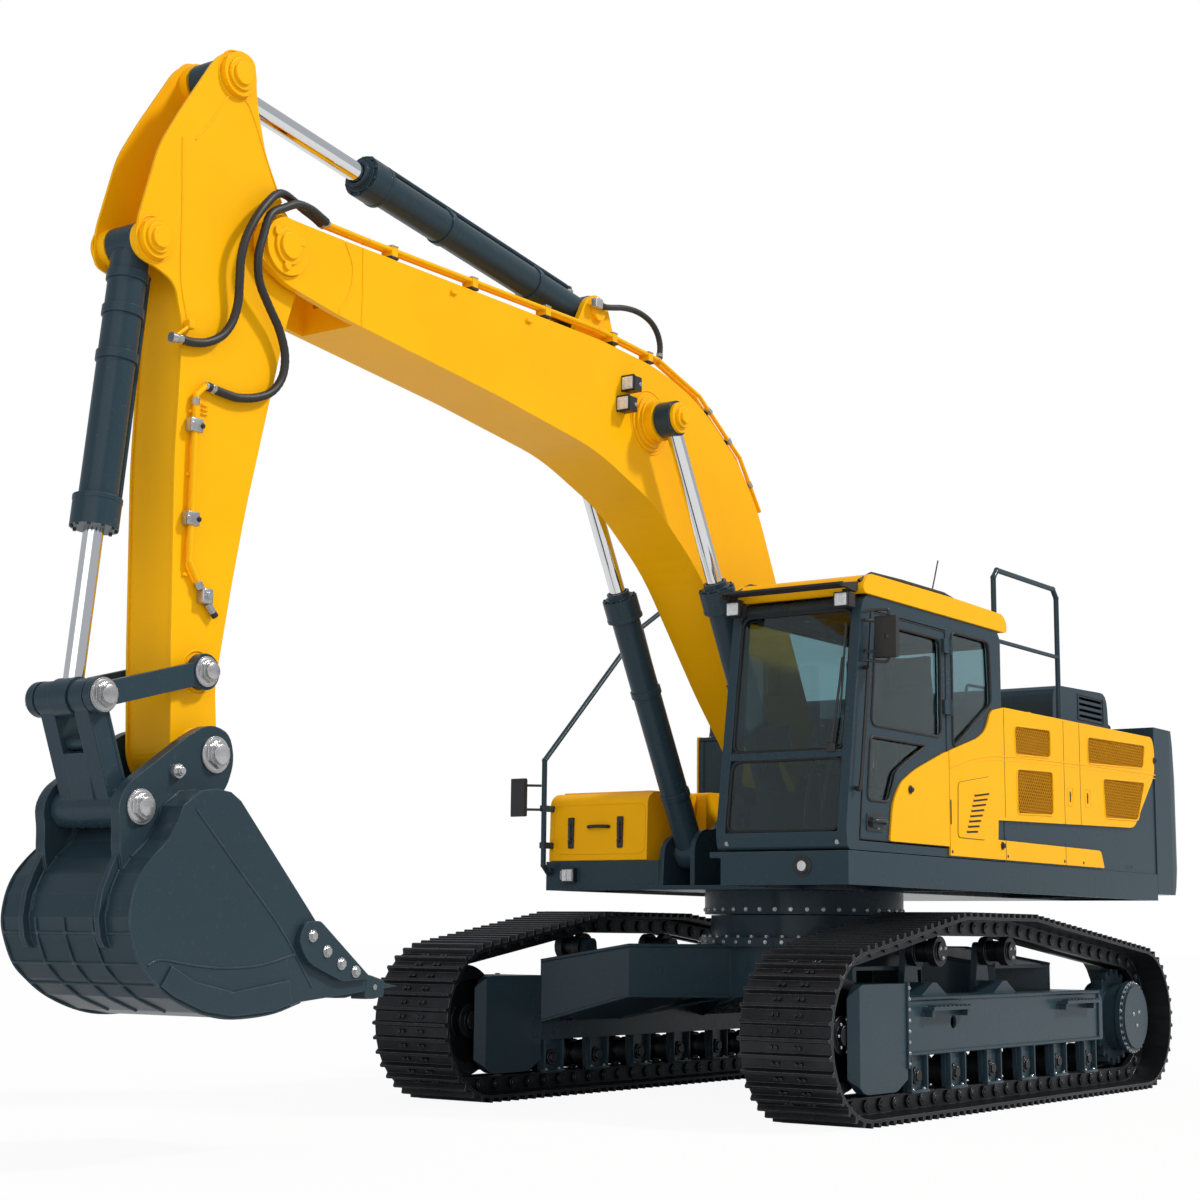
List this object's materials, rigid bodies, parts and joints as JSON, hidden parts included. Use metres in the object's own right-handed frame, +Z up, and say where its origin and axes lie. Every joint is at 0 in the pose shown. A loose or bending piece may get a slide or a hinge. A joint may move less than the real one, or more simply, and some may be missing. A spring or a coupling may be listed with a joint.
{
  "type": "crawler excavator",
  "caption": "Tracked hydraulic excavator with slewing house, glazed cab, boom, stick and bucket moved by cylinders, in yellow and dark grey.",
  "frame": {"origin": "ground level under the middle of the machine's bounding box at rest", "axes": "+X forward along the tracks towards the bucket, +Y to the operator's left, the cab side, +Z up"},
  "size_m": [10.4477, 3.36, 5.4933],
  "materials": {
    "black_paint": "matt black paint",
    "bucket_paint": "satin dark slate paint, worn",
    "cab_glass": "tinted glass",
    "chrome_rod": "hard chrome",
    "dark_paint": "satin dark slate paint",
    "lamp_lens": "clear lens in black housing",
    "track_steel": "worn dark steel",
    "trim_plastic": "matt black plastic",
    "yellow_paint": "satin yellow paint"
  },
  "bodies": {
    "undercarriage": {"car_body": "dark_paint", "track_frame_l": "dark_paint", "track_frame_r": "dark_paint", "track_l": "track_steel", "track_r": "track_steel", "idlers": "track_steel", "final_drives": "dark_paint", "rollers": "track_steel"},
    "house": {"main_frame": "dark_paint", "counterweight": "dark_paint", "cab_shell": "dark_paint", "cab_glass": "cab_glass", "operator_station": "trim_plastic", "left_panels": "yellow_paint", "right_panels": "yellow_paint", "engine_hood": "dark_paint", "engine_block": "black_paint", "toolbox": "yellow_paint", "fuel_tank": "yellow_paint", "handrails": "dark_paint", "mirrors": "trim_plastic", "house_lamps": "lamp_lens", "exhaust_stack": "black_paint", "cab_roof": "yellow_paint", "cab_visor": "trim_plastic", "side_walls": "black_paint", "grilles": "yellow_paint", "lift_sockets": "dark_paint"},
    "door": {"cab_door": "dark_paint", "door_glass": "cab_glass", "door_panel": "yellow_paint"},
    "boom": {"boom": "yellow_paint", "boom_pipes": "yellow_paint", "boom_lamps": "lamp_lens"},
    "arm": {"arm": "yellow_paint", "arm_pipes": "yellow_paint"},
    "bucket": {"bucket": "bucket_paint", "side_cutters": "bucket_paint"},
    "idler_links": {"idler_links": "dark_paint"},
    "h_link": {"h_link": "dark_paint"},
    "boom_barrels": {"boom_barrels": "dark_paint"},
    "boom_rods": {"boom_rods": "chrome_rod"},
    "arm_barrel": {"arm_barrel": "dark_paint"},
    "arm_rod": {"arm_rod": "chrome_rod"},
    "bucket_barrel": {"bucket_barrel": "dark_paint"},
    "bucket_rod": {"bucket_rod": "chrome_rod"}
  },
  "joints": [
    {"name": "swing", "type": "hinge", "parent": "undercarriage", "child": "house", "pos_m": [-1.605, 0, 1.3], "axis": [0, 0, 1], "continuous": true},
    {"name": "cab_door_hinge", "type": "hinge", "parent": "house", "child": "door", "pos_m": [-0.915, 1.5, 2.3], "axis": [0, 0, 1], "range_deg": [0, 170]},
    {"name": "boom_lift", "type": "hinge", "parent": "house", "child": "boom", "pos_m": [-1.375, 0, 2.09], "axis": [0, -1, 0], "range_deg": [-48, 32]},
    {"name": "arm_crowd", "type": "hinge", "parent": "boom", "child": "arm", "pos_m": [4.049, 0, 4.529], "axis": [0, 1, 0], "range_deg": [-58, 50]},
    {"name": "bucket_curl", "type": "hinge", "parent": "arm", "child": "bucket", "pos_m": [4.47, 0, 1.9], "axis": [0, 1, 0], "range_deg": [-75, 85]},
    {"name": "boom_barrel_tilt", "type": "hinge", "parent": "house", "child": "boom_barrels", "pos_m": [-0.725, 0, 1.64], "axis": [0, -1, 0], "range_deg": [-49.48, 33.32]},
    {"name": "boom_rod_slide", "type": "slide", "parent": "boom_barrels", "child": "boom_rods", "axis": [0.4761, 0, 0.8794], "range_m": [-0.6038, 0.4039]},
    {"name": "arm_barrel_tilt", "type": "hinge", "parent": "boom", "child": "arm_barrel", "pos_m": [1.186, 0, 4.922], "axis": [0, 1, 0], "range_deg": [-6.22, 5.5]},
    {"name": "arm_rod_slide", "type": "slide", "parent": "arm_barrel", "child": "arm_rod", "axis": [0.9909, 0, 0.1344], "range_m": [-0.7177, 0.6192]},
    {"name": "bucket_barrel_tilt", "type": "hinge", "parent": "arm", "child": "bucket_barrel", "pos_m": [4.875, 0, 4.35], "axis": [0, 1, 0], "range_deg": [-4.75, 5.25]},
    {"name": "bucket_rod_slide", "type": "slide", "parent": "bucket_barrel", "child": "bucket_rod", "axis": [0.1056, 0, -0.9944], "range_m": [-0.5289, 0.5989]},
    {"name": "idler_link_tilt", "type": "hinge", "parent": "arm", "child": "idler_links", "pos_m": [4.481, 0, 2.299], "axis": [0, 1, 0], "range_deg": [-52.75, 59.65]},
    {"name": "h_link_tilt", "type": "hinge", "parent": "bucket", "child": "h_link", "pos_m": [4.924, 0, 1.63], "axis": [0, 1, 0], "range_deg": [-52, 46]}
  ],
  "couplings": [
    {"joint": "boom_barrel_tilt", "follows": "boom_lift", "ratio": 1.01},
    {"joint": "boom_rod_slide", "follows": "boom_lift", "m_per_rad": 0.716},
    {"joint": "arm_barrel_tilt", "follows": "arm_crowd", "ratio": 0.09},
    {"joint": "arm_rod_slide", "follows": "arm_crowd", "m_per_rad": 0.705},
    {"joint": "bucket_barrel_tilt", "follows": "bucket_curl", "ratio": 0.05},
    {"joint": "bucket_rod_slide", "follows": "bucket_curl", "m_per_rad": 0.401},
    {"joint": "idler_link_tilt", "follows": "bucket_curl", "ratio": 0.69},
    {"joint": "h_link_tilt", "follows": "bucket_curl", "ratio": -0.6}
  ]
}
